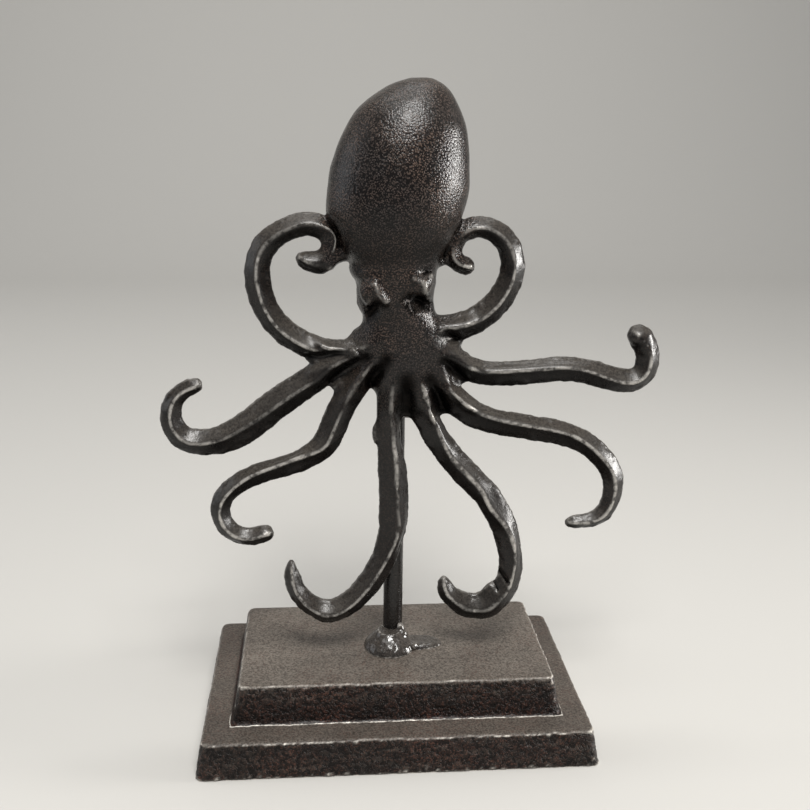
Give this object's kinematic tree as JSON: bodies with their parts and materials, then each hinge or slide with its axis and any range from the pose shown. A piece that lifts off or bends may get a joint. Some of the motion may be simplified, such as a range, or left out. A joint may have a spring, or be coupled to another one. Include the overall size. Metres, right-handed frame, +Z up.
{
  "type": "octopus figurine",
  "caption": "Cast-iron octopus ornament with curled arms, welded to an upright rod on a stepped rectangular base; stands on a desk or shelf.",
  "frame": {"origin": "on the floor, under the rod, at the middle of the base's resting rim", "axes": "+Z up, along the rod; the octopus's face and the base's front point along -Y; +X to the viewer's right"},
  "size_m": [0.1534, 0.08, 0.203],
  "materials": {
    "octopus_iron": "satin dark lacquer over grainy cast iron",
    "base_iron": "satin dark lacquer over fine-grained cast iron, worn bright at the edges",
    "rod_steel": "satin dark lacquer",
    "weld_metal": "glossy lacquer over lumpy weld metal"
  },
  "bodies": {
    "root": {"base_casting": "base_iron", "support_rod": "rod_steel", "rod_foot_weld": "weld_metal", "rod_head_weld": "weld_metal", "mantle": "octopus_iron", "head": "octopus_iron", "arm_left_loop": "octopus_iron", "arm_left_raised": "octopus_iron", "arm_left_wavy": "octopus_iron", "arm_left_hanging": "octopus_iron", "arm_right_hanging": "octopus_iron", "arm_right_drooping": "octopus_iron", "arm_right_raised": "octopus_iron", "arm_right_loop": "octopus_iron"}
  },
  "joints": []
}
